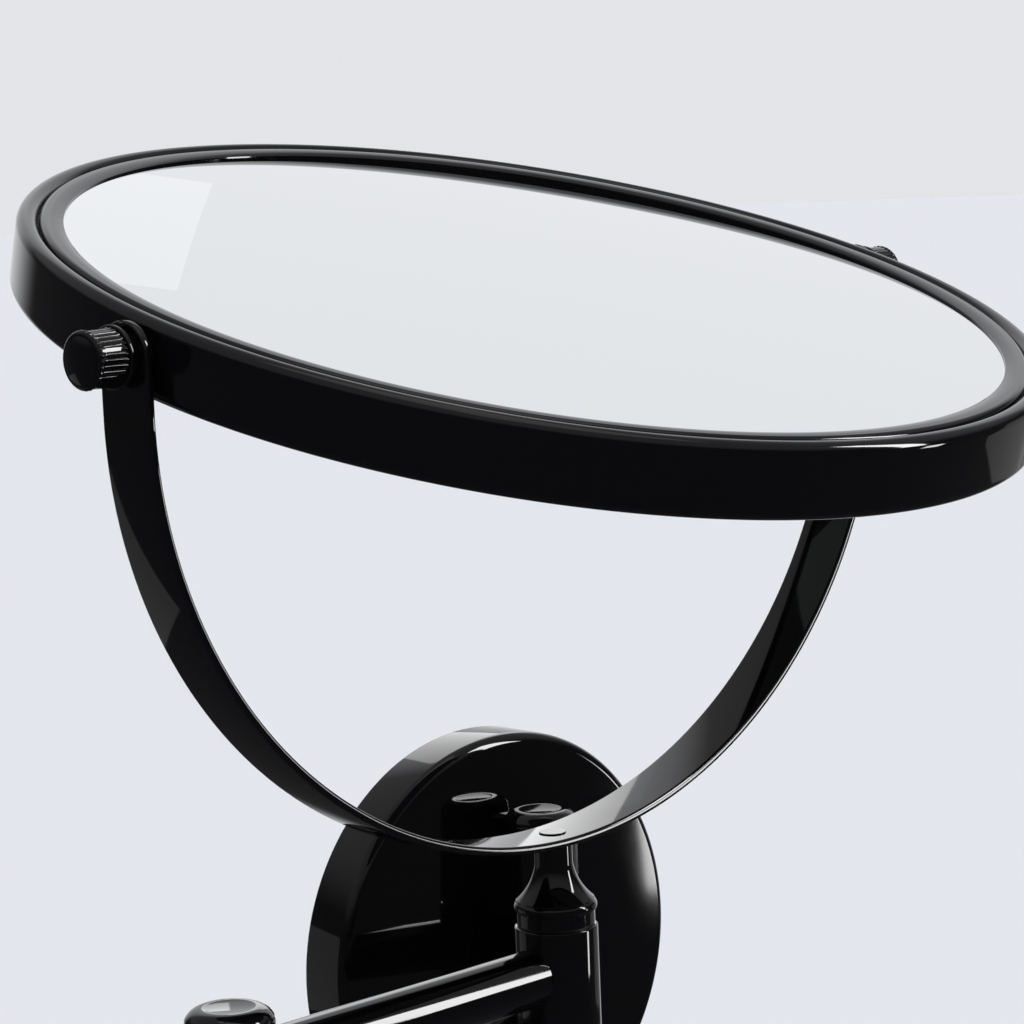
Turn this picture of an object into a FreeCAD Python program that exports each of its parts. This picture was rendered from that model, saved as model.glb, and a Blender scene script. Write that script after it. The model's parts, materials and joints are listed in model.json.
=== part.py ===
import FreeCAD, Part
import math
import os

# Extendable two-sided shaving mirror on a folding wall arm.
# All sizes are millimetres. The wall is the plane y = 0 and the mirror stands out of it towards -Y.
# The origin is the middle of the wall bracket's back face, and +Z is up.
# "Level" is the height of the inner arm's tube above the origin, which is zero.

V = FreeCAD.Vector

# Clearances
running_gap = 0.05       # radial, between a pin and the bush or eye that turns on it
thread_gap = 0.03        # radial, between a stud and the knob that screws on it
seat_gap = 0.2           # radial, between loose pieces of one assembly, such as a glass and its bezel
face_gap = 0.05          # axial, between a spring washer and the barrel that turns under it
groove_gap = 0.3         # radial, the fine shadow line between the rim and its bezels

# Wall rosette and the bracket under it
rosette_radius = 53.0
rosette_depth = 14.0
rosette_wall = 4.0
rosette_face = 2.5
rosette_edge_round = 2.6
bracket_thickness = 5.0
screw_circle_radius = 34.0
wall_screw_count = 3
wall_screw_hole_radius = 2.75
wall_screw_sink_radius = 5.0
wall_screw_sink_depth = 2.2
grub_radius = 1.5
grub_length = 4.0

# Barrels, tubes and the pins through them
barrel_radius = 8.7
upper_barrel_height = 25.4
lower_barrel_height = 20.0
barrel_edge_round = 0.4
tube_radius = 6.0
tube_wall = 1.5
pin_radius = 4.0
bush_wall = 1.2
thread_radius = 3.0
hinge_washer_thickness = 0.5
hinge_washer_radius = 8.0
counterbore_radius = 6.6
counterbore_depth = 8.0
pin_head_radius = 6.3
pin_head_height = 3.0
pin_head_recess = 4.6
spring_washer_radius = 6.0
spring_washer_rise = 0.5
spring_washer_thickness = 0.8
nut_across_flats = 10.0
nut_height = 4.0
thread_past_nut = 0.5
cap_height = 2.5
cap_spigot = 1.0
cap_flat_radius = 4.2

# Fork on the wall that carries the inner arm
knuckle_gap = 1.4        # fork plate to the inner arm's barrel
fork_knuckle_height = 23.5
fork_plate_thickness = 1.9
fork_plate_width = 14.0
fork_stem_radius = 13.0
fork_screw_radius = 2.0
fork_screw_spacing = 14.0
fork_screw_depth = 7.0
fork_screw_head_radius = 3.9

# Arm lengths, hinge axis to hinge axis
inner_link = 177.5
outer_link = 88.0
tube_drop = 10.0         # outer tube's axis below the top of its barrels

# Yoke and the swivel neck under it
strap_thickness = 1.7
strap_width = 13.0
strap_bevel = 0.25
strap_side_gap = 1.5     # rim to strap, filled by the pivot spacers
strap_straight = 10.9    # straight part of each side below the pivot axis
strap_bottom_gap = 3.7   # rim to strap at the bottom
neck_radius = 4.35
neck_straight = 4.6
neck_height = 17.1
neck_shoulder = 0.5      # barrel radius less the flare's
neck_flare_height = 7.8
neck_foot_round = 0.5
yoke_screw_radius = 1.6
yoke_screw_head_radius = 2.8
yoke_screw_head_height = 0.7
yoke_screw_depth = 7.0
neck_pin_depth = 6.5

# Mirror
rim_radius = 104.5
rim_width = 4.3          # radial
rim_height = 14.7
rim_rib_height = 3.0
rim_rib_width = 6.2
bezel_leg = 2.0          # radial, the part of the bezel around the glass
bezel_lip = 2.7          # radial, the part of the bezel over the glass
glass_recess = 1.1       # rim top to the front glass
front_glass_thickness = 3.0
rear_glass_thickness = 2.2
glass_air_gap = 2.0      # between the two glasses at the middle
bezel_edge = 0.3

# Tilt pivots and their knobs
stud_radius = 2.5
stud_root_radius = 1.9
stud_root_length = 7.2
stud_seat_depth = 0.5    # the stud's shoulder below the rim's bore
anchor_length = 6.5
anchor_overhang = 1.5
anchor_width = 8.0
anchor_gap = 0.45        # anchor to the front glass
spacer_radius = 4.5
collar_radius = 4.6
collar_length = 1.8
flange_radius = 5.9
flange_thickness = 0.9
grip_radius = 5.5
grip_length = 6.8
flute_count = 30
flute_radius = 0.55
flute_depth = 0.3
knob_end_radius = 4.4
knob_end_dome = 0.9
knob_end_spigot = 1.0
knob_blind_wall = 0.6    # between the stud's end and the end disc

# Stored pose: headings are the directions of the links seen from above, from +X towards +Y
inner_heading = 207.7
outer_heading = 2.2
yoke_heading = 4.2
mirror_tilt = 15.5

# Derived sizes
hinge_standoff = fork_plate_thickness + knuckle_gap + barrel_radius
hinge_y = -(rosette_depth + hinge_standoff)
half_lower = lower_barrel_height / 2
upper_base = half_lower + hinge_washer_thickness
upper_top = upper_base + upper_barrel_height
outer_level = upper_top - tube_drop
bush_radius = pin_radius + running_gap + bush_wall
fork_top = upper_base + fork_knuckle_height
neck_base = upper_top + hinge_washer_thickness
neck_top = neck_base + neck_height
strap_half_span = rim_radius + strap_side_gap
strap_drop = rim_radius + strap_bottom_gap - strap_straight
pivot_height = neck_top + strap_thickness + strap_drop + strap_straight
neck_flare_radius = barrel_radius - neck_shoulder
rim_bore = rim_radius - rim_width
half_rim = rim_height / 2
half_rib = rim_rib_height / 2
bezel_radius = rim_bore - groove_gap
front_glass_top = half_rim - glass_recess
front_glass_back = front_glass_top - front_glass_thickness
glass_radius = rim_bore - bezel_leg - seat_gap
sight_radius = glass_radius - bezel_lip
magnifier_sag = front_glass_top + front_glass_back - rear_glass_thickness - glass_air_gap
magnifier_curvature = (glass_radius ** 2 + magnifier_sag ** 2) / (2 * magnifier_sag)
stud_inner_radius = rim_bore - stud_root_length
stud_shoulder = rim_bore - stud_seat_depth
anchor_inner = stud_inner_radius - anchor_overhang
anchor_height = 2 * (front_glass_back - anchor_gap)
knob_base = strap_half_span + strap_thickness
flange_base = knob_base + collar_length
grip_base = flange_base + flange_thickness
grip_end = grip_base + grip_length
stud_end = grip_end - knob_end_spigot - knob_blind_wall - thread_gap


def rod(radius, low, high, x=0.0, y=0.0):
    """Round bar along Z between two heights."""
    return Part.makeCylinder(radius, high - low, V(x, y, low))


def ring(outer, inner, low, high):
    """Round washer or sleeve about Z."""
    return rod(outer, low, high).cut(rod(inner, low - 1, high + 1))


def turned(start, *steps):
    """Solid turned about Z. A step is an (r, z) point, or two of them for an arc through the first."""
    edges = []
    here = start
    for step in steps:
        through, there = step if isinstance(step[0], tuple) else (None, step)
        ends = [V(r, 0, z) for r, z in (here, there)]
        if through is None:
            edges.append(Part.LineSegment(*ends).toShape())
        else:
            edges.append(Part.Arc(ends[0], V(through[0], 0, through[1]), ends[1]).toShape())
        here = there
    if here != start:
        edges.append(Part.LineSegment(V(here[0], 0, here[1]), V(start[0], 0, start[1])).toShape())
    face = Part.Face(Part.Wire(edges))
    return face.revolve(V(0, 0, 0), V(0, 0, 1), 360)


def dome(radius, low, high):
    """Last step of a turned profile: a spherical dome from its edge to its top."""
    rise = high - low
    sphere = (radius ** 2 + rise ** 2) / (2 * rise)
    halfway = radius / 2
    return (halfway, high - sphere + math.sqrt(sphere ** 2 - halfway ** 2)), (0, high)


def arc_middle(centre, radius, degrees):
    """Point of a circle in the (r, z) plane."""
    angle = math.radians(degrees)
    return (centre[0] + radius * math.cos(angle), centre[1] + radius * math.sin(angle))


def on_x(shape):
    """Turn a piece made along Z so that it lies along +X."""
    turned_shape = shape.copy()
    turned_shape.Placement = FreeCAD.Placement(V(0, 0, 0), FreeCAD.Rotation(V(0, 1, 0), 90))
    return turned_shape


def facing_wall(shape):
    """Turn a piece made along Z so that its +Z points out of the wall, along -Y."""
    moved = shape.copy()
    moved.Placement = FreeCAD.Placement(V(0, 0, 0), FreeCAD.Rotation(V(1, 0, 0), 90))
    return moved


def flipped(shape):
    """Turn a piece upside down about the X axis."""
    moved = shape.copy()
    moved.Placement = FreeCAD.Placement(V(0, 0, 0), FreeCAD.Rotation(V(1, 0, 0), 180))
    return moved


def to_left(shape):
    """Turn a piece from the right side of the mirror to the left, about Z."""
    moved = shape.copy()
    moved.Placement = FreeCAD.Placement(V(0, 0, 0), FreeCAD.Rotation(V(0, 0, 1), 180)).multiply(shape.Placement)
    return moved


def barrel(low, high, bore):
    """Plain round barrel with softened ends."""
    soft = barrel_edge_round
    body = turned(
        (bore, low), (barrel_radius - soft, low), (barrel_radius, low + soft),
        (barrel_radius, high - soft), (barrel_radius - soft, high), (bore, high),
    )
    return body


def domed_cap(base, spigot_radius, spigot_length):
    """Cap with a flat middle and a rounded shoulder, standing on the height base, with a spigot below."""
    shoulder = (barrel_radius - 0.7, base + cap_height - 1.1)
    return turned(
        (0, base - spigot_length), (spigot_radius, base - spigot_length), (spigot_radius, base),
        (barrel_radius - 0.15, base), (barrel_radius - 0.15, base + 0.5),
        (shoulder, (cap_flat_radius, base + cap_height - 0.15)),
        (0, base + cap_height),
    )


def hexagon(across_flats, low, high, bore):
    """Hexagon nut about Z."""
    corner = across_flats / math.sqrt(3)
    points = [V(corner * math.cos(math.radians(a)), corner * math.sin(math.radians(a)), low)
              for a in range(0, 361, 60)]
    body = Part.Face(Part.makePolygon(points)).extrude(V(0, 0, high - low))
    return body.cut(rod(bore, low - 1, high + 1))


def coned_washer(seat):
    """Conical spring washer whose outer edge rests on the height seat."""
    rise, thick = spring_washer_rise, spring_washer_thickness
    return turned(
        (thread_radius + seat_gap, seat + rise), (spring_washer_radius, seat),
        (spring_washer_radius, seat + thick), (thread_radius + seat_gap, seat + rise + thick),
    )


def coped_tube(length, level, near_radius, far_radius):
    """Arm tube along X at a height, with both ends hollowed to sit on the barrels."""
    outside = Part.makeCylinder(tube_radius, length, V(0, 0, level), V(1, 0, 0))
    inside = Part.makeCylinder(tube_radius - tube_wall, length, V(0, 0, level), V(1, 0, 0))
    tall = tube_radius + 5
    near = rod(near_radius, level - tall, level + tall)
    far = rod(far_radius, level - tall, level + tall, x=length)
    return outside.cut(inside).cut(near).cut(far)


# Wall mount

def make_wall_bracket():
    plate = rod(rosette_radius - rosette_wall - seat_gap, 0, bracket_thickness)
    for k in range(wall_screw_count):
        angle = math.radians(90 + k * 360 / wall_screw_count)
        x = screw_circle_radius * math.cos(angle)
        y = screw_circle_radius * math.sin(angle)
        plate = plate.cut(rod(wall_screw_hole_radius, -1, bracket_thickness + 1, x, y))
        sink = Part.makeCone(wall_screw_hole_radius, wall_screw_sink_radius, wall_screw_sink_depth,
                             V(x, y, bracket_thickness - wall_screw_sink_depth))
        plate = plate.cut(sink)
    plate = facing_wall(plate)
    return plate.cut(make_fork_screws())


def make_wall_rosette():
    soft = rosette_edge_round
    inner = rosette_radius - rosette_wall
    corner = (rosette_radius - soft, rosette_depth - soft)
    shell = turned(
        (inner, 0), (rosette_radius, 0), (rosette_radius, corner[1]),
        (arc_middle(corner, soft, 45), (corner[0], rosette_depth)),
        (fork_stem_radius + seat_gap, rosette_depth),
        (fork_stem_radius + seat_gap, rosette_depth - rosette_face),
        (inner, rosette_depth - rosette_face),
    )
    shell = facing_wall(shell)
    hole = rod(grub_radius, -rosette_radius - 1, -inner + 1, y=-bracket_thickness / 2)
    return shell.cut(hole)


def make_rosette_grub_screw():
    tip = rosette_radius - rosette_wall - seat_gap
    body = rod(grub_radius, -tip - grub_length, -tip, y=-bracket_thickness / 2)
    socket = Part.makeCylinder(0.8, 1.5, V(0, -bracket_thickness / 2, -tip - grub_length))
    return body.cut(socket)


def make_hinge_fork():
    plate_front = rosette_depth + fork_plate_thickness
    stem = facing_wall(rod(fork_stem_radius, bracket_thickness, plate_front))
    half = fork_plate_width / 2
    tall = fork_top - half
    plate = Part.makeBox(fork_plate_width, fork_plate_thickness, 2 * tall, V(-half, -plate_front, -tall))
    for side in (-1, 1):
        end = Part.makeCylinder(half, fork_plate_thickness, V(0, -rosette_depth, side * tall), V(0, -1, 0))
        plate = plate.fuse(end)
    body = stem.fuse(plate)
    for low, high in ((upper_base, fork_top), (-fork_top, -upper_base)):
        knuckle = barrel(low, high, pin_radius)
        knuckle.translate(V(0, hinge_y, 0))
        web = Part.makeBox(fork_plate_width, hinge_standoff - fork_plate_thickness, high - low - half,
                           V(-half, hinge_y, low if low > 0 else low + half))
        body = body.fuse(knuckle).fuse(web)
    body = body.cut(rod(pin_radius, -fork_top - 1, fork_top + 1, y=hinge_y))
    return body.cut(make_fork_screws()).removeSplitter()


def make_fork_screws():
    head = fork_screw_head_radius - fork_screw_radius
    screws = []
    for side in (-1, 1):
        screw = turned(
            (0, 0), (fork_screw_head_radius, 0), (fork_screw_radius, head),
            (fork_screw_radius, bracket_thickness + fork_screw_depth), (0, bracket_thickness + fork_screw_depth),
        )
        screw = facing_wall(screw)
        screw.translate(V(side * fork_screw_spacing / 2, 0, 0))
        screws.append(screw)
    return Part.makeCompound(screws)


def make_wall_hinge_pin():
    return rod(pin_radius, -fork_top + cap_spigot, fork_top - cap_spigot, y=hinge_y)


def make_fork_cap():
    return domed_cap(fork_top, pin_radius, cap_spigot)


def make_wall_hinge_washers():
    upper = ring(hinge_washer_radius, pin_radius + running_gap, half_lower, upper_base)
    return Part.makeCompound([upper, flipped(upper)])


# Inner arm, made with its wall hinge on the Z axis and its elbow at x = inner_link

def make_inner_arm_tube():
    return coped_tube(inner_link, 0, barrel_radius, barrel_radius)


def make_inner_arm_wall_barrel():
    return barrel(-half_lower, half_lower, bush_radius)


def make_wall_hinge_bush():
    return ring(bush_radius, pin_radius + running_gap, -half_lower, half_lower)


def make_inner_arm_elbow_barrel():
    body = barrel(-half_lower, half_lower, pin_radius)
    return body.cut(rod(counterbore_radius, -half_lower - 1, -half_lower + pin_head_recess))


def make_elbow_pin():
    seat = -half_lower + pin_head_recess
    head = rod(pin_head_radius, seat - pin_head_height, seat)
    shank = rod(pin_radius, seat, upper_top - counterbore_depth)
    nut_top = upper_top - counterbore_depth + face_gap + nut_rise()
    thread = rod(thread_radius, upper_top - counterbore_depth, nut_top + thread_past_nut)
    return head.fuse(shank).fuse(thread).removeSplitter()


def nut_rise():
    """Height of the nut's top above the spring washer's seat."""
    return spring_washer_rise + spring_washer_thickness + nut_height


def make_elbow_washer():
    return ring(hinge_washer_radius, pin_radius + running_gap, half_lower, upper_base)


def make_elbow_spring_washer():
    return coned_washer(upper_top - counterbore_depth + face_gap)


def make_elbow_nut():
    top = upper_top - counterbore_depth + face_gap + nut_rise()
    return hexagon(nut_across_flats, top - nut_height, top, thread_radius)


def make_elbow_cap_bottom():
    return flipped(domed_cap(half_lower, counterbore_radius, cap_spigot))


# Outer arm, made with its elbow on the Z axis and the swivel at x = outer_link

def make_outer_arm_tube():
    return coped_tube(outer_link, outer_level, barrel_radius, barrel_radius)


def make_outer_arm_elbow_barrel():
    body = barrel(upper_base, upper_top, bush_radius)
    return body.cut(rod(counterbore_radius, upper_top - counterbore_depth, upper_top + 1))


def make_outer_arm_end_barrel():
    body = barrel(upper_base, upper_top, bush_radius)
    return body.cut(rod(counterbore_radius, upper_base - 1, upper_base + counterbore_depth))


def make_elbow_bush():
    return ring(bush_radius, pin_radius + running_gap, upper_base, upper_top - counterbore_depth)


def make_swivel_bush():
    return ring(bush_radius, pin_radius + running_gap, upper_base + counterbore_depth, upper_top)


def make_elbow_cap_top():
    return domed_cap(upper_top, counterbore_radius, cap_spigot)


def make_end_barrel_cap():
    return flipped(domed_cap(-upper_base, counterbore_radius, cap_spigot))


# Yoke, made with the swivel axis on Z and the tilt axis along X

def strap_outline(offset, depth):
    """Face inside the strap's inner line, grown outwards by offset, as a slab of a depth along Y."""
    half = strap_half_span + offset
    drop = strap_drop + offset
    corner = pivot_height - strap_straight
    right, left = V(half, 0, corner), V(-half, 0, corner)
    top_right, top_left = V(half, 0, pivot_height), V(-half, 0, pivot_height)
    if half > drop:
        ellipse = Part.Ellipse(V(half, 0, corner), V(0, 0, corner - drop), V(0, 0, corner))
    else:
        ellipse = Part.Ellipse(V(0, 0, corner - drop), V(half, 0, corner), V(0, 0, corner))
    bottom = V(0, 0, corner - drop)
    parameters = [ellipse.parameter(p) for p in (left, bottom, right)]
    arcs = []
    for first, last in ((parameters[0], parameters[1]), (parameters[1], parameters[2])):
        if last < first:
            last += 2 * math.pi
        if last - first > math.pi:
            first, last = last - 2 * math.pi, first
        arcs.append(ellipse.toShape(first, last))
    lines = [
        Part.LineSegment(right, top_right).toShape(),
        Part.LineSegment(top_right, top_left).toShape(),
        Part.LineSegment(top_left, left).toShape(),
    ]
    wire = Part.Wire(Part.__sortEdges__(arcs + lines))
    slab = Part.Face(wire).extrude(V(0, depth, 0))
    slab.translate(V(0, -depth / 2, 0))
    return slab


def make_yoke_strap():
    body = strap_outline(strap_thickness, strap_width).cut(strap_outline(0, strap_width + 2))
    half = strap_width / 2
    for side in (-1, 1):
        inner = side * strap_half_span
        eye = Part.makeCylinder(half, strap_thickness, V(inner, 0, pivot_height), V(side, 0, 0))
        body = body.fuse(eye)
    body = body.removeSplitter()
    edges = [edge for edge in body.Edges if is_long_strap_edge(edge)]
    body = body.makeChamfer(strap_bevel, edges)
    hole = Part.makeCylinder(stud_radius + running_gap, 2 * knob_base + 2,
                             V(-knob_base - 1, 0, pivot_height), V(1, 0, 0))
    screw_hole = rod(yoke_screw_radius, neck_top - 1, neck_top + strap_thickness + 1)
    return body.cut(hole).cut(screw_hole)


def is_long_strap_edge(edge):
    """True for the strap's edges, and false for the short seams across its thickness or its width."""
    box = edge.BoundBox
    across_width = box.YLength > strap_width / 2 and box.XLength < 0.01 and box.ZLength < 0.01
    across_thickness = box.YLength < 0.01 and box.ZLength < 0.01 and box.XLength < strap_thickness + 0.01
    return not (across_width or across_thickness)


def make_yoke_screw():
    seat = neck_top + strap_thickness
    head_high = yoke_screw_head_height
    return turned(
        (0, neck_top - yoke_screw_depth), (yoke_screw_radius, neck_top - yoke_screw_depth),
        (yoke_screw_radius, seat), (yoke_screw_head_radius, seat), (yoke_screw_head_radius, seat + 0.3 * head_high),
        dome(yoke_screw_head_radius, seat + 0.3 * head_high, seat + head_high),
    ).cut(make_yoke_strap())


def make_swivel_neck():
    flare_low = neck_top - neck_straight - neck_flare_height
    run = neck_flare_radius - neck_radius
    flare_curve = (run ** 2 + neck_flare_height ** 2) / (2 * run)
    halfway = neck_flare_height / 2
    flare_middle = (neck_radius + flare_curve - math.sqrt(flare_curve ** 2 - halfway ** 2),
                    neck_top - neck_straight - halfway)
    round_drop = 1.3
    foot = neck_foot_round
    body = turned(
        (0, neck_base), (barrel_radius - foot, neck_base),
        ((barrel_radius - 0.3 * foot, neck_base + 0.3 * foot), (barrel_radius, neck_base + foot)),
        (barrel_radius, flare_low - round_drop),
        ((barrel_radius - 0.12, flare_low - 0.45 * round_drop), (neck_flare_radius, flare_low)),
        (flare_middle, (neck_radius, neck_top - neck_straight)),
        (neck_radius, neck_top + 0.1), (0, neck_top + 0.1),
    )
    body = body.cut(strap_outline(strap_thickness, strap_width))
    body = body.cut(rod(yoke_screw_radius, neck_top - yoke_screw_depth, neck_top + 1))
    return body.cut(rod(pin_radius, neck_base - 1, neck_base + neck_pin_depth))


def make_swivel_pin():
    seat = upper_base + counterbore_depth
    nut_low = seat - face_gap - nut_rise()
    shank = rod(pin_radius, seat, neck_base + neck_pin_depth)
    thread = rod(thread_radius, nut_low - thread_past_nut, seat)
    return shank.fuse(thread).removeSplitter()


def make_swivel_washer():
    return ring(hinge_washer_radius, pin_radius, upper_top, neck_base)


def make_swivel_spring_washer():
    seat = upper_base + counterbore_depth - face_gap
    return flipped(coned_washer(-seat))


def make_swivel_nut():
    low = upper_base + counterbore_depth - face_gap - nut_rise()
    return hexagon(nut_across_flats, low, low + nut_height, thread_radius)


# Mirror, made about its centre with the front glass facing +Z and the tilt axis along X

def make_mirror_rim():
    bead = rim_width / 2
    middle = rim_radius - bead
    shoulder = half_rim - bead
    body = turned(
        (rim_radius, -shoulder), (rim_radius, shoulder),
        (arc_middle((middle, shoulder), bead, 45), (middle, half_rim)),
        (arc_middle((middle, shoulder), bead, 135), (rim_bore, shoulder)),
        (rim_bore, half_rib), (rim_bore - rim_rib_width, half_rib),
        (rim_bore - rim_rib_width, -half_rib), (rim_bore, -half_rib),
        (rim_bore, -shoulder), (arc_middle((middle, -shoulder), bead, 225), (middle, -half_rim)),
        (arc_middle((middle, -shoulder), bead, 315), (rim_radius, -shoulder)),
    )
    return body.cut(anchor_pockets()).cut(stud_holes())


def anchor_pockets():
    """Space in the rib and the pads for the two stud anchors."""
    pocket = Part.makeBox(anchor_length, anchor_width, anchor_height,
                          V(anchor_inner, -anchor_width / 2, -anchor_height / 2))
    return Part.makeCompound([pocket, to_left(pocket)])


def stud_holes():
    """Holes through the rim and its rib: full size in the rim, the root's size inside its bore."""
    root = Part.makeCylinder(stud_root_radius, 2 * rim_bore, V(-rim_bore, 0, 0), V(1, 0, 0))
    shank = Part.makeCylinder(stud_radius, rim_width + 1, V(stud_shoulder, 0, 0), V(1, 0, 0))
    return root.fuse(shank).fuse(to_left(shank))


def make_front_bezel():
    waist = 2.2
    shoulder = half_rim - waist
    lip = front_glass_top
    crown = (bezel_radius - 1.3, half_rim - 0.2)
    body = turned(
        (glass_radius + seat_gap, half_rib), (rim_bore, half_rib), (rim_bore, shoulder),
        (bezel_radius, shoulder + groove_gap), (bezel_radius, half_rim - 0.85),
        ((bezel_radius - 0.38, half_rim - 0.36), crown),
        ((sight_radius + 1.7, lip + 0.72), (sight_radius, lip + bezel_edge)),
        (sight_radius, lip), (glass_radius + seat_gap, lip),
    )
    clearance = Part.makeCylinder(stud_radius + seat_gap, 2 * rim_radius, V(-rim_radius, 0, 0), V(1, 0, 0))
    return body.cut(clearance)


def make_rear_bezel():
    return flipped(make_front_bezel())


def make_front_glass():
    return rod(glass_radius, front_glass_back, front_glass_top)


def make_rear_glass():
    """Concave glass whose edge rests on the rear bezel."""
    edge = -front_glass_top
    sag = magnifier_sag
    half_sag = magnifier_curvature - math.sqrt(magnifier_curvature ** 2 - (glass_radius / 2) ** 2)
    thick = rear_glass_thickness
    return turned(
        (0, edge + sag), ((glass_radius / 2, edge + sag - half_sag), (glass_radius, edge)),
        (glass_radius, edge + thick),
        ((glass_radius / 2, edge + thick + sag - half_sag), (0, edge + thick + sag)),
    )


def make_front_pad():
    pad = ring(glass_radius, rim_bore - rim_rib_width, half_rib, front_glass_back)
    return pad.cut(anchor_pockets())


def make_rear_pad():
    inner = rim_bore - rim_rib_width
    edge = -front_glass_top + rear_glass_thickness
    sag_inside = (glass_radius ** 2 - inner ** 2) / (2 * magnifier_curvature)
    pad = turned((inner, -half_rib), (glass_radius, -half_rib), (glass_radius, edge), (inner, edge + sag_inside))
    return pad.cut(anchor_pockets()).cut(make_rear_glass())


def make_pivot_anchor():
    block = Part.makeBox(anchor_length, anchor_width, anchor_height,
                         V(anchor_inner, -anchor_width / 2, -anchor_height / 2))
    hole = Part.makeCylinder(stud_root_radius, anchor_length, V(stud_inner_radius, 0, 0), V(1, 0, 0))
    return block.cut(hole)


def make_pivot_stud():
    root = rod(stud_root_radius, stud_inner_radius, stud_shoulder)
    return on_x(root.fuse(rod(stud_radius, stud_shoulder, stud_end)))


def make_pivot_spacer():
    sleeve = on_x(ring(spacer_radius, stud_radius, rim_radius - 1, strap_half_span))
    return sleeve.cut(rod(rim_radius, -spacer_radius - 1, spacer_radius + 1))


# Knobs, made on the right-hand end of the tilt axis

def make_knob_flange():
    soft = 0.2
    bore = stud_radius + running_gap
    top = grip_base
    return on_x(turned(
        (bore, knob_base), (collar_radius, knob_base), (collar_radius, flange_base),
        (flange_radius - soft, flange_base), (flange_radius, flange_base + soft),
        (flange_radius, top - soft), (flange_radius - soft, top), (bore, top),
    ))


def make_knob_grip():
    soft = 0.7
    bore = stud_radius + thread_gap
    recess = grip_end - knob_end_spigot
    body = turned(
        (0, recess), (0, stud_end + thread_gap), (bore, stud_end + thread_gap), (bore, grip_base),
        (grip_radius - soft, grip_base), (grip_radius, grip_base + soft),
        (grip_radius, grip_end - soft), (grip_radius - soft, grip_end),
        (knob_end_radius, grip_end), (knob_end_radius, recess),
    )
    centre = grip_radius + flute_radius - flute_depth
    for k in range(flute_count):
        angle = 2 * math.pi * k / flute_count
        flute = rod(flute_radius, grip_base - 1, grip_end + 1, centre * math.cos(angle), centre * math.sin(angle))
        body = body.cut(flute)
    return on_x(body)


def make_knob_end():
    return on_x(turned(
        (0, grip_end - knob_end_spigot), (knob_end_radius, grip_end - knob_end_spigot),
        (knob_end_radius, grip_end + 0.2),
        dome(knob_end_radius, grip_end + 0.2, grip_end + knob_end_dome),
    ))


# Where each moving assembly stands in the stored pose

def heading(degrees):
    return FreeCAD.Rotation(V(0, 0, 1), degrees)


wall_hinge = V(0, hinge_y, 0)
elbow = wall_hinge + heading(inner_heading).multVec(V(inner_link, 0, 0))
swivel = elbow + heading(outer_heading).multVec(V(outer_link, 0, 0))

at_wall = FreeCAD.Placement()
at_hinge = FreeCAD.Placement(wall_hinge, FreeCAD.Rotation())
at_inner_arm = FreeCAD.Placement(wall_hinge, heading(inner_heading))
at_elbow = FreeCAD.Placement(elbow, heading(inner_heading))
at_outer_arm = FreeCAD.Placement(elbow, heading(outer_heading))
at_outer_end = FreeCAD.Placement(swivel, heading(outer_heading))
at_yoke = FreeCAD.Placement(swivel, heading(yoke_heading))
pivot_lift = FreeCAD.Placement(V(0, 0, pivot_height), FreeCAD.Rotation(V(1, 0, 0), mirror_tilt))
at_mirror = at_yoke.multiply(pivot_lift)

pieces = {
    "wall_bracket": (make_wall_bracket(), at_wall),
    "wall_rosette": (make_wall_rosette(), at_wall),
    "rosette_grub_screw": (make_rosette_grub_screw(), at_wall),
    "hinge_fork": (make_hinge_fork(), at_wall),
    "fork_screws": (make_fork_screws(), at_wall),
    "wall_hinge_pin": (make_wall_hinge_pin(), at_wall),
    "fork_cap_top": (make_fork_cap(), at_hinge),
    "fork_cap_bottom": (flipped(make_fork_cap()), at_hinge),
    "wall_hinge_washers": (make_wall_hinge_washers(), at_hinge),
    "inner_arm_tube": (make_inner_arm_tube(), at_inner_arm),
    "inner_arm_wall_barrel": (make_inner_arm_wall_barrel(), at_inner_arm),
    "wall_hinge_bush": (make_wall_hinge_bush(), at_inner_arm),
    "inner_arm_elbow_barrel": (make_inner_arm_elbow_barrel(), at_elbow),
    "elbow_pin": (make_elbow_pin(), at_elbow),
    "elbow_washer": (make_elbow_washer(), at_elbow),
    "elbow_spring_washer": (make_elbow_spring_washer(), at_elbow),
    "elbow_nut": (make_elbow_nut(), at_elbow),
    "elbow_cap_bottom": (make_elbow_cap_bottom(), at_elbow),
    "outer_arm_tube": (make_outer_arm_tube(), at_outer_arm),
    "outer_arm_elbow_barrel": (make_outer_arm_elbow_barrel(), at_outer_arm),
    "elbow_bush": (make_elbow_bush(), at_outer_arm),
    "elbow_cap_top": (make_elbow_cap_top(), at_outer_arm),
    "outer_arm_end_barrel": (make_outer_arm_end_barrel(), at_outer_end),
    "swivel_bush": (make_swivel_bush(), at_outer_end),
    "end_barrel_cap": (make_end_barrel_cap(), at_outer_end),
    "swivel_neck": (make_swivel_neck(), at_yoke),
    "swivel_pin": (make_swivel_pin(), at_yoke),
    "swivel_washer": (make_swivel_washer(), at_yoke),
    "swivel_spring_washer": (make_swivel_spring_washer(), at_yoke),
    "swivel_nut": (make_swivel_nut(), at_yoke),
    "yoke_strap": (make_yoke_strap(), at_yoke),
    "yoke_screw": (make_yoke_screw(), at_yoke),
    "mirror_rim": (make_mirror_rim(), at_mirror),
    "front_bezel": (make_front_bezel(), at_mirror),
    "rear_bezel": (make_rear_bezel(), at_mirror),
    "front_glass": (make_front_glass(), at_mirror),
    "rear_glass": (make_rear_glass(), at_mirror),
    "front_pad": (make_front_pad(), at_mirror),
    "rear_pad": (make_rear_pad(), at_mirror),
}
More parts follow.
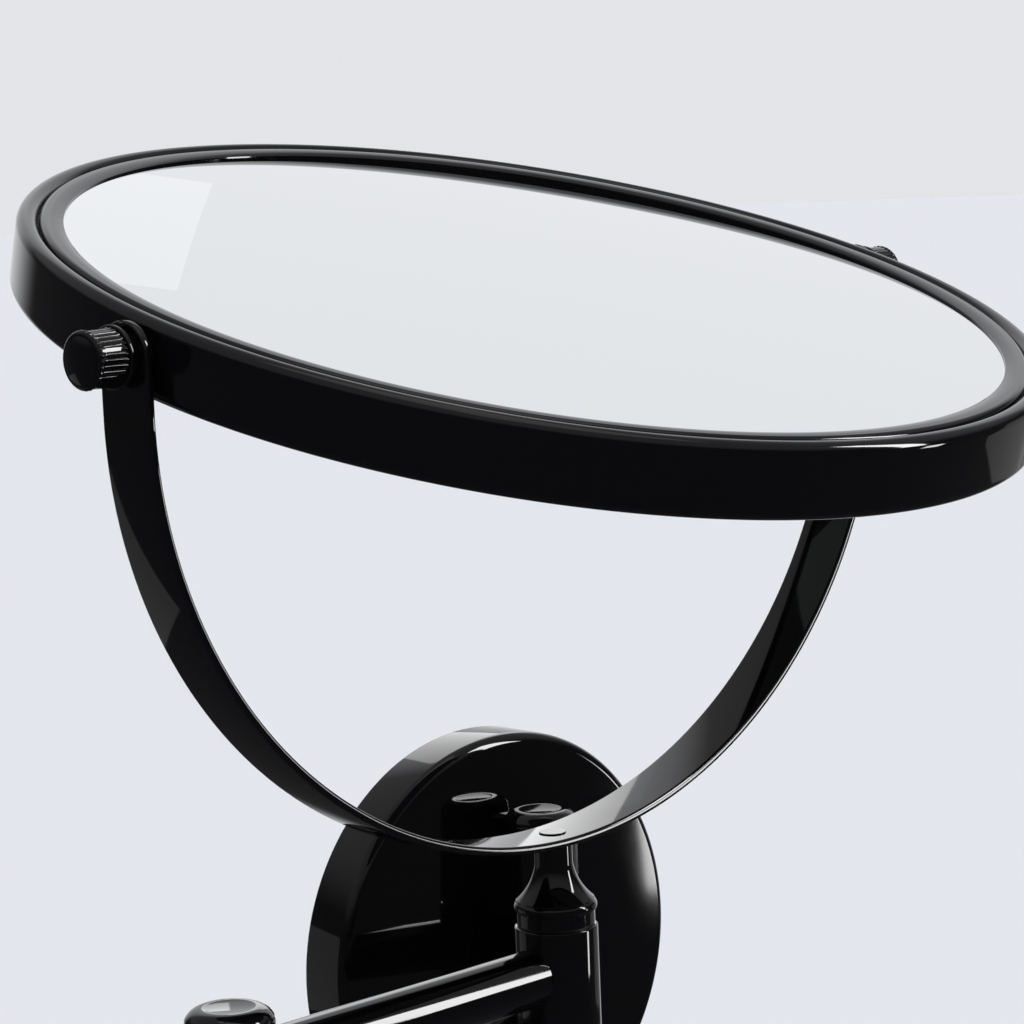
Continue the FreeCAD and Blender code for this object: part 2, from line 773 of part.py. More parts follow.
for side, turn in (("right", lambda piece: piece), ("left", to_left)):
    pieces["pivot_anchor_" + side] = (turn(make_pivot_anchor()), at_mirror)
    pieces["pivot_stud_" + side] = (turn(make_pivot_stud()), at_mirror)
    pieces["pivot_spacer_" + side] = (turn(make_pivot_spacer()), at_mirror)
    pieces["knob_flange_" + side] = (turn(make_knob_flange()), at_mirror)
    pieces["knob_grip_" + side] = (turn(make_knob_grip()), at_mirror)
    pieces["knob_end_" + side] = (turn(make_knob_end()), at_mirror)

os.makedirs("parts", exist_ok=True)
for name, (shape, place) in pieces.items():
    placed = shape.copy()
    placed.Placement = place.multiply(shape.Placement)
    placed.exportStep("parts/" + name + ".step")
    if not placed.isValid():
        print("not valid:", name)

for name, point in (("wall hinge", wall_hinge), ("elbow", elbow), ("swivel", swivel)):
    print(f"{name} axis at x {point.x:.4f}, y {point.y:.4f}")
print(f"pivot height {pivot_height:.4f}, outer level {outer_level:.4f}, fork top {fork_top + cap_height:.4f}")
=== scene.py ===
"""Extendable shaving mirror on a folding wall arm: its looks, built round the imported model."""
import json
import math

import bmesh
import bpy
from mathutils import Matrix, Vector


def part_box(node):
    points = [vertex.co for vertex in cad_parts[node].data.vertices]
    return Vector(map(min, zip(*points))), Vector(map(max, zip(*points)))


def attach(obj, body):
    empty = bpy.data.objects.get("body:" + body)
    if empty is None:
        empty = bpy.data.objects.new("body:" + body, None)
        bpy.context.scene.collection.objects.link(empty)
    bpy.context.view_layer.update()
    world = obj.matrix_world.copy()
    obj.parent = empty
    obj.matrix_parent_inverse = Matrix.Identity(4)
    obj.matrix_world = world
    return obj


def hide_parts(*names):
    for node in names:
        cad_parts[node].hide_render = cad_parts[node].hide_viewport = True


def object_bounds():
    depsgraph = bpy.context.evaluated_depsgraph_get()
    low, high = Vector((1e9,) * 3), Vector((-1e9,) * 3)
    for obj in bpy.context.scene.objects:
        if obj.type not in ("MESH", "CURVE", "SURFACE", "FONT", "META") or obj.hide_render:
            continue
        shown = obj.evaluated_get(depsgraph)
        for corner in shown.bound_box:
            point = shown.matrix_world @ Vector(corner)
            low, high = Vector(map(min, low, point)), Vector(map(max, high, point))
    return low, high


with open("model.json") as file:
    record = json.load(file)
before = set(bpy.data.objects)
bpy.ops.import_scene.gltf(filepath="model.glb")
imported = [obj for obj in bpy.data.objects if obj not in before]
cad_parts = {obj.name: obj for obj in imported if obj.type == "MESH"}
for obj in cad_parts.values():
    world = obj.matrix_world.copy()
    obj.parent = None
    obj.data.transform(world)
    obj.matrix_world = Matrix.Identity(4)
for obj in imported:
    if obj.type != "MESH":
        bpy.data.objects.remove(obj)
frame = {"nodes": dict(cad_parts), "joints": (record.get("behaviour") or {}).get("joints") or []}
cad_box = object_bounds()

# Sizes in metres, angles in degrees

tube_radius = 0.006
cap_flat_radius = 0.0042
barrel_round = 0.0004
tube_inset = 0.0075      # from a hinge axis to the tube's end inside the barrel
cap_height = 0.0025
cap_step = 0.0005        # the part let into the barrel, and the straight wall above it
cap_swell = 0.0009
cap_flat_drop = 0.0001
rosette_radius = 0.053
rosette_depth = 0.014
rosette_wall = 0.004
rosette_face = 0.0025
rosette_round = 0.0026
rosette_hole = 0.0132
rim_radius = 0.1045
rim_width = 0.0043
half_rim = 0.00735
rim_rib = 0.0062
half_rib = 0.0015
bezel_radius = 0.0999
bezel_groove_floor = 0.0022  # below the rim's top
bezel_foot = 0.0019
bezel_shoulder = 0.00085
bezel_crown_inset = 0.0013
bezel_crown_drop = 0.0002
bezel_swell = 0.00022
bezel_lip = 0.0003
glass_play = 0.0002
glass_round = 0.0003
sight_radius = 0.0953
glass_radius = 0.098
front_glass_top = 0.00625
front_glass_thickness = 0.003
rear_glass_thickness = 0.0022
magnifier_sag = 0.0053
strap_half_span = 0.106
strap_drop = 0.0973
strap_straight = 0.0109
strap_thickness = 0.0017
strap_width = 0.013
strap_round = 0.00055
strap_screw_radius = 0.0028
strap_screw_flat = 0.0024
strap_screw_height = 0.0003
strap_screw_round = 0.00012
neck_radius = 0.004
neck_bead = 0.0005
neck_bead_height = 0.0022
neck_straight = 0.0046
neck_flare_height = 0.0078
neck_flare_radius = 0.0082
neck_flare_step = 0.0003
neck_hollow = 0.7        # of the hollow that would meet the stem without a corner
neck_let_in = 0.0004     # into the strap
stud_bore = 0.00255
flange_radius = 0.0059
flange_round = 0.0003
flange_thickness = 0.0009
collar_radius = 0.0046
collar_length = 0.0018
collar_round = 0.0002
grip_radius = 0.0055
grip_length = 0.0068
grip_round = 0.0009
grip_foot_round = 0.0004
flute_count = 30
flute_depth = 0.00035
flute_points = 16
flute_fullness = 0.7     # under 1 gives round ridges and narrow valleys
knob_end_radius = 0.0044
knob_end_let_in = 0.0004
knob_end_edge = 0.0001
knob_end_rise = 0.00088
knob_end_swell = 0.00022
mirror_tilt = 15.5

# Where the hinges stand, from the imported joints

joints = {joint["name"]: joint for joint in frame["joints"]}
wall_hinge, elbow, swivel = (
    Vector(joints[name]["pos_m"]) * Vector((1, 1, 0))
    for name in ("wall_swing", "elbow_swing", "yoke_swivel"))
pivot = Vector(joints["mirror_tilt"]["pos_m"])
tilt_axis = Vector(joints["mirror_tilt"]["axis"])


def spot(point, heading=None):
    """Placement at a point, with +X turned to a heading in plan."""
    turn = math.atan2(heading.y, heading.x) if heading else 0
    return Matrix.Translation(point) @ Matrix.Rotation(turn, 4, "Z")


at_yoke = spot(swivel, tilt_axis)
at_mirror = spot(pivot, tilt_axis) @ Matrix.Rotation(math.radians(mirror_tilt), 4, "X")
out_of_wall = Matrix.Rotation(math.radians(90), 4, "X")
along_x = Matrix.Rotation(math.radians(90), 4, "Y")
half_turn = Matrix.Rotation(math.pi, 4, "Z")
upside_down = Matrix.Rotation(math.pi, 4, "X")


# Materials

def linear(code):
    """An sRGB hex value as linear colour."""
    parts = [int(code[k:k + 2], 16) / 255 for k in (1, 3, 5)]
    return [p / 12.92 if p <= 0.04045 else ((p + 0.055) / 1.055) ** 2.4 for p in parts] + [1]


def add(tree, kind, links=None, **settings):
    """Adds a node: settings are its properties or its inputs' values, links are its inputs' sources."""
    node = tree.nodes.new(kind)
    for name, value in settings.items():
        title = name.replace("_", " ").title()
        if title in node.inputs:
            node.inputs[title].default_value = value
        else:
            setattr(node, name, value)
    for name, source in (links or {}).items():
        tree.links.new(source, node.inputs[name])
    return node


def finish_of(name, colour, metallic=0.0, roughness=0.3, **shader_values):
    """New material: its node tree, its shader and its place on the piece."""
    material = bpy.data.materials.new(name)
    material.use_nodes = True
    tree = material.node_tree
    shader = tree.nodes["Principled BSDF"]
    values = {"Base Color": linear(colour), "Metallic": metallic, "Roughness": roughness, **shader_values}
    for socket, value in values.items():
        shader.inputs[socket].default_value = value
    place = add(tree, "ShaderNodeTexCoord").outputs["Object"]
    return material, tree, shader, place


def grain(tree, place, size, detail=2.0, stretch=(1, 1, 1)):
    """Noise whose blotches are about size metres across, drawn out along an axis by stretch."""
    mapped = add(tree, "ShaderNodeMapping", {"Vector": place}, Scale=stretch)
    noise = add(tree, "ShaderNodeTexNoise", {"Vector": mapped.outputs[0]}, scale=0.5 / size, detail=detail)
    return noise.outputs[0]


def vary(tree, value, low, high):
    """A 0 to 1 pattern spread between two values."""
    spread = add(tree, "ShaderNodeMapRange", {"Value": value},
                 from_min=0.3, from_max=0.7, to_min=low, to_max=high)
    return spread.outputs[0]


def raise_surface(tree, shader, height, strength, depth):
    """Bump of a depth in metres."""
    bump = add(tree, "ShaderNodeBump", {"Height": height}, strength=strength, distance=depth)
    tree.links.new(bump.outputs[0], shader.inputs["Normal"])


def stoved_black_enamel():
    # Stoved gloss enamel sprayed on brass: deep black, sharp reflections that waver slightly with the
    # spray's orange peel, and a trace of handling film that softens the gloss in broad patches.
    material, tree, shader, place = finish_of("stoved_black_enamel", "#08080A", 0.0, 0.05)
    film = grain(tree, place, 0.018, 3.0)
    tree.links.new(vary(tree, film, 0.03, 0.07), shader.inputs["Roughness"])
    tint = add(tree, "ShaderNodeMix", data_type="RGBA")
    tree.links.new(film, tint.inputs["Factor"])
    tint.inputs[6].default_value = linear("#070709")
    tint.inputs[7].default_value = linear("#0B0B0E")
    tree.links.new(tint.outputs[2], shader.inputs["Base Color"])
    raise_surface(tree, shader, grain(tree, place, 0.0015), 0.1, 0.00001)
    return material


def silvered_glass(name, colour, haze):
    # Float glass silvered on its back: a near-perfect reflection, slightly cool from the glass,
    # with a faint wiped haze that shows only as a softer patch here and there.
    material, tree, shader, place = finish_of(name, colour, 1.0, 0.01)
    wipe = grain(tree, place, 0.03, 3.0, (1, 3, 1))
    tree.links.new(vary(tree, wipe, 0.004, haze), shader.inputs["Roughness"])
    return material


def turned_steel():
    # Bright zinc on turned steel: grey metal whose turning marks spread the highlight into bands.
    material, tree, shader, place = finish_of("zinc_plated_steel", "#C3C6CA", 1.0, 0.3)
    marks = grain(tree, place, 0.0004, 2.0, (1, 1, 6))
    tree.links.new(vary(tree, marks, 0.22, 0.4), shader.inputs["Roughness"])
    raise_surface(tree, shader, marks, 0.2, 0.00002)
    return material


def moulded_nylon():
    # Moulded black nylon: dull and waxy beside the enamel, with a fine even texture from the mould.
    material, tree, shader, place = finish_of("moulded_nylon", "#141416", 0.0, 0.45, **{"IOR": 1.53})
    speckle = grain(tree, place, 0.0005)
    tree.links.new(vary(tree, speckle, 0.38, 0.52), shader.inputs["Roughness"])
    raise_surface(tree, shader, speckle, 0.15, 0.00002)
    return material


def turned_brass():
    # Turned brass: warm yellow metal with fine lathe rings and slight tarnish.
    material, tree, shader, place = finish_of("turned_brass", "#C9A255", 1.0, 0.28)
    tarnish = grain(tree, place, 0.004, 3.0)
    tree.links.new(vary(tree, tarnish, 0.22, 0.4), shader.inputs["Roughness"])
    raise_surface(tree, shader, grain(tree, place, 0.0004, 1.0, (6, 1, 1)), 0.2, 0.00002)
    return material


def closed_cell_foam():
    # Closed-cell foam cut from sheet: matt dark grey with open cells of half a millimetre on the cut faces.
    material, tree, shader, place = finish_of("closed_cell_foam", "#3A3B3E", 0.0, 0.9)
    cells = add(tree, "ShaderNodeTexVoronoi", {"Vector": place}, scale=1 / 0.0005).outputs["Distance"]
    raise_surface(tree, shader, cells, 0.6, 0.0002)
    tree.links.new(vary(tree, cells, 0.8, 0.95), shader.inputs["Roughness"])
    return material


enamel = stoved_black_enamel()
flat_mirror = silvered_glass("silvered_float_glass", "#F1F3F4", 0.012)
magnifier = silvered_glass("silvered_concave_glass", "#E9EDEE", 0.02)
steel = turned_steel()
nylon = moulded_nylon()
brass = turned_brass()
foam = closed_cell_foam()


# Ways of making a piece

def skinned(name, rings, place=Matrix.Identity(4), looped=False, crisp=32):
    """Piece whose skin runs from ring to ring of points. A ring of one point closes an end to a tip."""
    shape = bmesh.new()
    made = [[shape.verts.new(point) for point in ring] for ring in rings]
    for here, there in zip(made, made[1:] + (made[:1] if looped else [])):
        count = max(len(here), len(there))
        for k in range(count):
            corners = [here[k % len(here)], here[(k + 1) % len(here)],
                       there[(k + 1) % len(there)], there[k % len(there)]]
            shape.faces.new(list(dict.fromkeys(corners)))
    if not looped:
        for end in (made[0], made[-1]):
            if len(end) > 2:
                shape.faces.new(end)
    bmesh.ops.recalc_face_normals(shape, faces=shape.faces)
    mesh = bpy.data.meshes.new(name)
    shape.to_mesh(mesh)
    shape.free()
    mesh.transform(place)
    mesh.shade_smooth()
    mesh.set_sharp_from_angle(angle=math.radians(crisp))
    piece = bpy.data.objects.new(name, mesh)
    bpy.context.scene.collection.objects.link(piece)
    return piece


def ring_of(radius, height, sides):
    """Circle of points about Z, or one point on the axis."""
    if radius < 1e-7:
        return [(0, 0, height)]
    return [(radius * math.cos(2 * math.pi * k / sides), radius * math.sin(2 * math.pi * k / sides), height)
            for k in range(sides)]


def turned(name, outline, place=Matrix.Identity(4), sides=128, looped=False, crisp=32):
    """Piece turned about Z from an outline of radii and heights."""
    return skinned(name, [ring_of(r, z, sides) for r, z in outline], place, looped, crisp)


def softened(corners, steps=8):
    """Outline through corners (r, z). A third number rounds that corner to its radius."""
    points = []
    for k, (r, z, *soft) in enumerate(corners):
        here = Vector((r, z))
        if not soft:
            points.append(here)
            continue
        before = (Vector(corners[k - 1][:2]) - here).normalized()
        after = (Vector(corners[(k + 1) % len(corners)][:2]) - here).normalized()
        half = before.angle(after) / 2
        centre = here + (before + after).normalized() * soft[0] / math.sin(half)
        reach = soft[0] / math.tan(half)
        first, last = here + before * reach - centre, here + after * reach - centre
        sweep = math.pi - 2 * half
        for i in range(steps + 1):
            t = i / steps
            points.append(centre + (first * math.sin((1 - t) * sweep) + last * math.sin(t * sweep))
                          / math.sin(sweep))
    return points


def bowed(start, end, rise, steps=12):
    """Points of an arc between two (r, z) points that swells by rise to the right of its run."""
    start, end = Vector(start), Vector(end)
    run = end - start
    side = Vector((run.y, -run.x)).normalized()
    radius = (run.length_squared / 4 + rise ** 2) / (2 * abs(rise))
    centre = (start + end) / 2 + side * (rise - math.copysign(radius, rise))
    sweep = 2 * math.asin(min(1, run.length / 2 / radius))
    first, last = start - centre, end - centre
    return [centre + (first * math.sin((1 - t) * sweep) + last * math.sin(t * sweep)) / math.sin(sweep)
            for t in (i / steps for i in range(steps + 1))]


def fit(piece, material, body, slot, *nodes):
    """Gives a piece its material and its body, and hides the CAD nodes it stands for. The slot is not used."""
    piece.data.materials.append(material)
    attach(piece, body)
    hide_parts(*nodes)
    return piece


def heights(node):
    """Lowest and highest z of a CAD node, and its half width in X."""
    low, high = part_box(node)
    return low.z, high.z, (high.x - low.x) / 2


# Wall mount

rosette = turned("rosette", softened([
    (rosette_radius - rosette_wall, 0), (rosette_radius, 0, 0.0003),
    (rosette_radius, rosette_depth, rosette_round), (rosette_hole, rosette_depth, 0.0004),
    (rosette_hole, rosette_depth - rosette_face),
    (rosette_radius - rosette_wall, rosette_depth - rosette_face, 0.001),
], 10), out_of_wall, 256, looped=True)
fit(rosette, enamel, "wall_mount", "black_enamel", "wall_rosette")


# Barrels and caps

def make_barrel(name, axis, body, node):
    """Barrel with softened ends, closed by its pin and caps."""
    low, high, radius = heights(node)
    outline = [(0, low), (radius, low, barrel_round), (radius, high, barrel_round), (0, high)]
    return fit(turned(name, softened(outline, 5), spot(axis)), enamel, body, "black_enamel", node)


make_barrel("wall_barrel", wall_hinge, "inner_arm", "inner_arm_wall_barrel")
make_barrel("elbow_barrel_lower", elbow, "inner_arm", "inner_arm_elbow_barrel")
make_barrel("elbow_barrel_upper", elbow, "outer_arm", "outer_arm_elbow_barrel")
make_barrel("end_barrel", swivel, "outer_arm", "outer_arm_end_barrel")


def make_cap(name, axis, body, node, upward=True):
    """Domed cap with a flat middle and a rounded shoulder, drawn from its barrel's end outwards."""
    low, high, radius = heights(node)
    base = high - cap_height if upward else -(low + cap_height)
    top = base + cap_height
    outline = (
        [(0, base - cap_step), (radius, base - cap_step), (radius, base + cap_step)]
        + bowed((radius, base + cap_step), (cap_flat_radius, top - cap_flat_drop), cap_swell)
        + [(0, top)])
    piece = turned(name, outline, spot(axis) if upward else spot(axis) @ upside_down, 128, crisp=60)
    return fit(piece, enamel, body, "black_enamel", node)


make_cap("fork_top_cap", wall_hinge, "wall_mount", "fork_cap_top")
make_cap("fork_bottom_cap", wall_hinge, "wall_mount", "fork_cap_bottom", upward=False)
make_cap("elbow_top_cap", elbow, "outer_arm", "elbow_cap_top")
make_cap("elbow_bottom_cap", elbow, "inner_arm", "elbow_cap_bottom", upward=False)
make_cap("end_barrel_cap", swivel, "outer_arm", "end_barrel_cap", upward=False)


# Arm tubes

def make_tube(name, start, end, body, node):
    """Round tube between two hinge axes, let into both barrels."""
    low, high, _ = heights(node)
    level = (low + high) / 2
    length = (end - start).length
    rings = 24
    outline = [(tube_radius, tube_inset + (length - 2 * tube_inset) * k / rings) for k in range(rings + 1)]
    outline = [(0, tube_inset)] + outline + [(0, length - tube_inset)]
    place = spot(start, end - start) @ Matrix.Translation((0, 0, level)) @ along_x
    return fit(turned(name, outline, place, 96), enamel, body, "black_enamel", node)


make_tube("inner_tube", wall_hinge, elbow, "inner_arm", "inner_arm_tube")
make_tube("outer_tube", elbow, swivel, "outer_arm", "outer_arm_tube")


# Yoke

def make_neck():
    """Bottle-shaped neck: a straight foot, a bead, a flare and a slim stem."""
    low, _, radius = heights("swivel_neck")
    strap_underside = heights("yoke_strap")[0]
    top = strap_underside + neck_let_in
    stem_foot = strap_underside - neck_straight
    flare_foot = stem_foot - neck_flare_height
    run = neck_flare_radius - neck_radius
    reach = math.hypot(run, neck_flare_height)
    curve = (run ** 2 + neck_flare_height ** 2) / (2 * run)
    hollow = curve - math.sqrt(curve ** 2 - (reach / 2) ** 2)
    foot = radius - neck_bead
    outline = (
        [(0, low), (foot, low)]
        + bowed((foot, flare_foot - neck_bead_height), (foot, flare_foot), neck_bead, 12)
        + bowed((neck_flare_radius, flare_foot + neck_flare_step), (neck_radius, stem_foot),
                -neck_hollow * hollow, 24)
        + [(neck_radius, top), (0, top)])
    return turned("neck", outline, at_yoke, crisp=40)


fit(make_neck(), enamel, "yoke", "black_enamel", "swivel_neck")


def strap_stations():
    """Places along the strap: mid-thickness point, outward direction, half width and lean of the round eye."""
    corner = pivot.z - strap_straight
    half_thick = strap_thickness / 2
    span, drop = strap_half_span + half_thick, strap_drop + half_thick
    eye = strap_width / 2
    eye_steps, straight_steps, bend_steps = 17, 8, 120
    stations = []
    for k in range(1, eye_steps):
        rise = math.radians(90 * (1 - k / eye_steps))
        top = pivot.z + eye * math.sin(rise)
        stations.append(((span, top), (1, 0), eye * math.cos(rise), math.sin(rise)))
    for k in range(straight_steps + 1):
        stations.append(((span, pivot.z - strap_straight * k / straight_steps), (1, 0), eye, 0))
    one_side = len(stations)
    for k in range(1, bend_steps):
        turn = math.radians(180 * k / bend_steps)
        outward = Vector((drop * math.cos(turn), -span * math.sin(turn))).normalized()
        stations.append(((span * math.cos(turn), corner - drop * math.sin(turn)), outward, eye, 0))
    for (x, z), (out_x, out_z), half, lean in reversed(stations[:one_side]):
        stations.append(((-x, z), (-out_x, out_z), half, lean))
    return stations


def make_strap():
    """Flat strap with rounded edges, bent to the yoke's line and ended in two round eyes."""
    half_thick = strap_thickness / 2
    soft = strap_round
    rings = []
    for (x, z), (out_x, out_z), half, lean in strap_stations():
        ring = []
        for side_t, side_w, order in ((1, 1, 1), (1, -1, -1), (-1, -1, 1), (-1, 1, -1)):
            arc = [math.radians(90 * i / 5) for i in range(6)][::order]
            for angle in arc:
                thick = side_t * (half_thick - soft * (1 - math.sin(angle)))
                inset = soft * (1 - math.cos(angle))
                width = side_w * half * (strap_width / 2 - inset) / (strap_width / 2)
                ring.append((x + out_x * thick, width, z + out_z * thick - inset * lean))
        rings.append(ring)
    return skinned("yoke_strap_bent", rings, at_yoke, crisp=40)


fit(make_strap(), enamel, "yoke", "black_enamel", "yoke_strap")

strap_floor = pivot.z - strap_straight - strap_drop
yoke_screw_head = turned("yoke_screw_head", softened([
    (0, strap_floor - strap_screw_height), (strap_screw_radius, strap_floor - strap_screw_height),
    (strap_screw_radius, strap_floor + strap_screw_height, strap_screw_round),
    (strap_screw_flat, strap_floor + strap_screw_height), (0, strap_floor + strap_screw_height),
], 6), at_yoke, 64, crisp=50)
fit(yoke_screw_head, enamel, "yoke", "black_enamel", "yoke_screw")


# Mirror

rim_bore = rim_radius - rim_width
bead = rim_width / 2 * 0.999   # just under half, so that the two roundings stay apart
rim = turned("rim_band", softened([
    (rim_radius, -half_rim, bead), (rim_radius, half_rim, bead), (rim_bore, half_rim, bead),
    (rim_bore, half_rib), (rim_bore - rim_rib, half_rib), (rim_bore - rim_rib, -half_rib),
    (rim_bore, -half_rib), (rim_bore, -half_rim, bead),
], 14), at_mirror, 360, looped=True)
fit(rim, enamel, "mirror", "black_enamel", "mirror_rim")


def make_bezel(name, place, node):
    """Ring that holds a glass: a groove against the rim, a rounded crown and a thin sight edge."""
    crown = (bezel_radius - bezel_crown_inset, half_rim - bezel_crown_drop)
    bore = glass_radius + glass_play
    outline = (
        [(bore, half_rib), (rim_bore, half_rib), (rim_bore, half_rim - bezel_groove_floor)]
        + [(bezel_radius, half_rim - bezel_foot)]
        + bowed((bezel_radius, half_rim - bezel_shoulder), crown, bezel_swell, 8)
        + bowed(crown, (sight_radius, front_glass_top + bezel_lip), bezel_swell, 12)[1:]
        + [(sight_radius, front_glass_top), (bore, front_glass_top)])
    ring = turned(name, outline, place, 360, looped=True, crisp=40)
    return fit(ring, enamel, "mirror", "black_enamel", node)


make_bezel("front_bezel_ring", at_mirror, "front_bezel")
make_bezel("rear_bezel_ring", at_mirror @ upside_down, "rear_bezel")

plain_glass = turned("plain_glass", softened([
    (0, front_glass_top - front_glass_thickness),
    (glass_radius, front_glass_top - front_glass_thickness, glass_round),
    (glass_radius, front_glass_top, glass_round), (0, front_glass_top),
], 4), at_mirror, 192)
fit(plain_glass, flat_mirror, "mirror", "flat_mirror", "front_glass")

curve = (glass_radius ** 2 + magnifier_sag ** 2) / (2 * magnifier_sag)


def dished(edge, count=40):
    """Outline of the magnifier's face from its middle to its edge."""
    radii = [glass_radius * k / count for k in range(count + 1)]
    return [(r, edge + magnifier_sag - (curve - math.sqrt(curve ** 2 - r ** 2))) for r in radii]


magnifying_glass = turned("magnifying_glass", dished(-front_glass_top)
                          + dished(-front_glass_top + rear_glass_thickness)[::-1], at_mirror, 192)
fit(magnifying_glass, magnifier, "mirror", "magnifying_mirror", "rear_glass")


# Knobs

def make_knob(side, place):
    """Clamping knob on one end of the tilt axis: flange with its collar, fluted grip, domed end disc."""
    knob_base = strap_half_span + strap_thickness
    flange_base = knob_base + collar_length
    grip_base = flange_base + flange_thickness
    grip_end = grip_base + grip_length
    outward = place @ along_x
    body = "knob_" + side
    flange = turned("flange_" + side, softened([
        (stud_bore, knob_base), (collar_radius, knob_base, collar_round), (collar_radius, flange_base),
        (flange_radius, flange_base, flange_round), (flange_radius, grip_base, flange_round),
        (stud_bore, grip_base),
    ], 5), outward, 96, looped=True)
    fit(flange, enamel, body, "black_enamel", "knob_flange_" + side)

    profile = softened([
        (0, grip_base), (grip_radius, grip_base, grip_foot_round), (grip_radius, grip_end, grip_round),
        (0, grip_end)], 8)
    low, high = profile[5], profile[14]
    steps = [profile[1:10], [low.lerp(high, t / 8) for t in range(1, 8)], profile[10:19]]
    around = flute_count * flute_points
    rings = [[(0, 0, grip_base)]]
    for radius, height in (point for group in steps for point in group):
        ring = []
        for k in range(around):
            wave = abs(math.sin(math.pi * k / flute_points)) ** flute_fullness
            reach = min(radius, grip_radius - flute_depth * (1 - wave))
            angle = 2 * math.pi * k / around
            ring.append((reach * math.cos(angle), reach * math.sin(angle), height))
        rings.append(ring)
    rings.append([(0, 0, grip_end)])
    grip = skinned("grip_" + side, rings, outward, crisp=50)
    fit(grip, enamel, body, "black_enamel", "knob_grip_" + side)

    seat, edge = grip_end - knob_end_let_in, grip_end + knob_end_edge
    dome = [(0, seat), (knob_end_radius, seat), (knob_end_radius, edge)]
    dome += bowed((knob_end_radius, edge), (0, grip_end + knob_end_rise), knob_end_swell, 12)
    end = turned("knob_end_disc_" + side, dome, outward, 96, crisp=50)
    fit(end, enamel, body, "black_enamel", "knob_end_" + side)


make_knob("right", at_mirror)
make_knob("left", at_mirror @ half_turn)

# CAD nodes whose shape is right keep it and get their finish here

for material, nodes in (
        (enamel, ("hinge_fork",)),
        (steel, ("wall_bracket", "rosette_grub_screw", "fork_screws", "wall_hinge_pin", "elbow_pin",
                 "elbow_spring_washer", "elbow_nut", "swivel_pin", "swivel_spring_washer", "swivel_nut",
                 "pivot_stud_right", "pivot_stud_left")),
        (nylon, ("wall_hinge_washers", "elbow_washer", "swivel_washer", "pivot_spacer_right",
                 "pivot_spacer_left")),
        (brass, ("wall_hinge_bush", "elbow_bush", "swivel_bush", "pivot_anchor_right", "pivot_anchor_left")),
        (foam, ("front_pad", "rear_pad"))):
    for node in nodes:
        for held in frame["nodes"][node].material_slots:
            held.material = material

# Floor, light and camera

floor_drop = 0.25
floor_radius = 12
floor = skinned("floor", [ring_of(floor_radius, -0.01, 96), ring_of(floor_radius, 0, 96)],
                Matrix.Translation((0, 0, cad_box[0][2] - floor_drop)))
# Matt background paper: pale, even and without any shine, so the lights leave no pool on it
paper, tree, shader, place = finish_of("pale_matt_paper", "#E3E5EA", 0.0, 0.9, **{"Specular IOR Level": 0.0})
tree.links.new(vary(tree, grain(tree, place, 0.4, 3.0), 0.85, 0.95), shader.inputs["Roughness"])
floor.data.materials.append(paper)
floor.visible_glossy = False

# Room: gloss black and mirror show only what stands round them. It is bright beyond the wall, half
# bright above and dark elsewhere, and seen straight on it is one pale tone.
world = bpy.data.worlds.new("studio")
bpy.context.scene.world = world
world.use_nodes = True
sky = world.node_tree
backdrop = sky.nodes["Background"]
direction = add(sky, "ShaderNodeTexCoord").outputs["Generated"]
facing = add(sky, "ShaderNodeVectorMath", operation="DOT_PRODUCT")
sky.links.new(direction, facing.inputs[0])
facing.inputs[1].default_value = (0.655, 0.724, 0.21)
bright_side = add(sky, "ShaderNodeMapRange", {"Value": facing.outputs["Value"]},
                  interpolation_type="SMOOTHSTEP", from_min=0.7, from_max=0.9, to_min=0.05, to_max=0.88)
height = add(sky, "ShaderNodeSeparateXYZ", {"Vector": direction}).outputs["Z"]
ceiling = add(sky, "ShaderNodeMapRange", {"Value": height}, interpolation_type="SMOOTHSTEP",
              from_min=0.12, from_max=0.55, to_min=0.0, to_max=0.32)
room = add(sky, "ShaderNodeMath", {0: bright_side.outputs[0], 1: ceiling.outputs[0]}, operation="MAXIMUM")
seen = add(sky, "ShaderNodeLightPath").outputs["Is Camera Ray"]
level = add(sky, "ShaderNodeMix", {"Factor": seen, "A": room.outputs[0]}, data_type="FLOAT")
level.inputs[3].default_value = 0.8
sky.links.new(level.outputs[0], backdrop.inputs["Strength"])
backdrop.inputs["Color"].default_value = linear("#FBFCFF")


def towards(azimuth, elevation):
    """Unit vector for an azimuth, which runs from straight out of the wall round to +X, and an elevation."""
    return Vector((math.sin(azimuth) * math.cos(elevation), -math.cos(azimuth) * math.cos(elevation),
                   math.sin(elevation)))


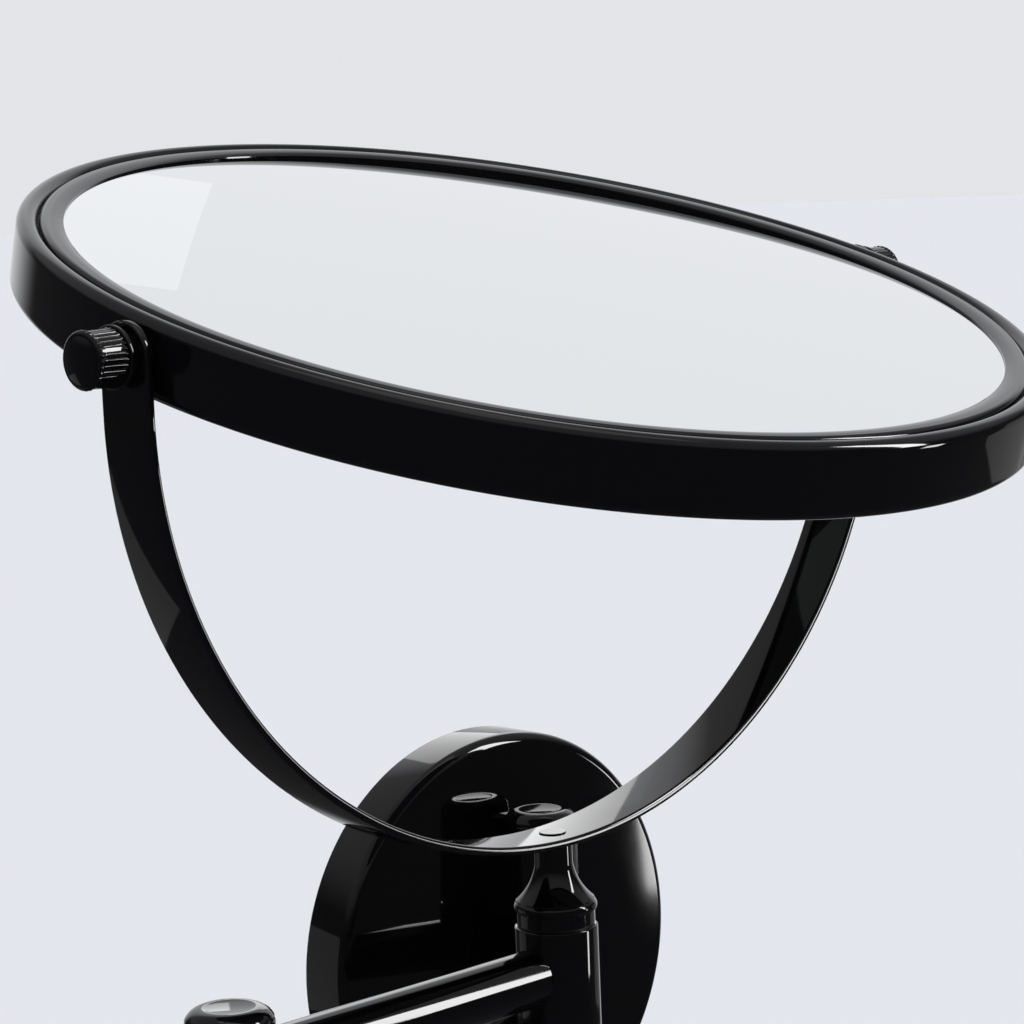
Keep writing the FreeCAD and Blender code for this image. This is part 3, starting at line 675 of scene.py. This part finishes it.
def soft_light(name, toward, distance, size, power):
    """Studio panel that faces the mirror from a direction given as azimuth and elevation in degrees."""
    away = towards(*(math.radians(a) for a in toward))
    data = bpy.data.lights.new(name, "AREA")
    data.shape = "RECTANGLE"
    data.size, data.size_y = size
    data.energy = power
    light = bpy.data.objects.new(name, data)
    light.location = pivot + away * distance
    light.rotation_euler = away.to_track_quat("Z", "Y").to_euler()
    light.visible_camera = False
    light.visible_diffuse = False
    bpy.context.scene.collection.objects.link(light)
    return light


soft_light("overhead", (0, 80), 2.2, (1.6, 1.6), 4)
soft_light("right_strip", (45, 20), 1.6, (0.2, 1.0), 11)
soft_light("right_fill", (92, -8), 4.0, (1.8, 1.6), 2)
soft_light("low_right_strip", (53, -11), 4.0, (0.4, 0.7), 10)
soft_light("low_left_fill", (-149, -26), 0.47, (0.22, 0.2), 0.03)
soft_light("yoke_glow", (143, -1.5), 0.3, (0.14, 0.12), 0.075)
soft_light("left_window", (148, 26), 4.0, (0.9, 0.9), 0.2)
floor_wash = bpy.data.objects.new("floor_wash", bpy.data.lights.new("floor_wash", "SUN"))
floor_wash.data.energy = 2.15
floor_wash.data.angle = math.radians(70)
floor_wash.visible_glossy = False
bpy.context.scene.collection.objects.link(floor_wash)

centre_of_view = pivot + Vector((-0.00782, -0.00011, -0.0404))
view_azimuth, view_elevation, view_distance, view_roll = (
    math.radians(-42.25), math.radians(7.52), 0.66133, math.radians(-2.28))
away = towards(view_azimuth, view_elevation)
level_right = Vector((0, 0, 1)).cross(away).normalized()
right = level_right * math.cos(view_roll) + away.cross(level_right) * math.sin(view_roll)
camera_data = bpy.data.cameras.new("camera")
camera_data.lens = 114.95
camera_data.sensor_width = 36
camera_data.clip_start = 0.01
camera = bpy.data.objects.new("camera", camera_data)
turn = Matrix((right, away.cross(right), away)).transposed().to_4x4()
camera.matrix_world = Matrix.Translation(centre_of_view + away * view_distance) @ turn
bpy.context.scene.collection.objects.link(camera)
bpy.context.scene.camera = camera
bpy.context.scene.view_settings.view_transform = "Standard"

bpy.context.view_layer.update()
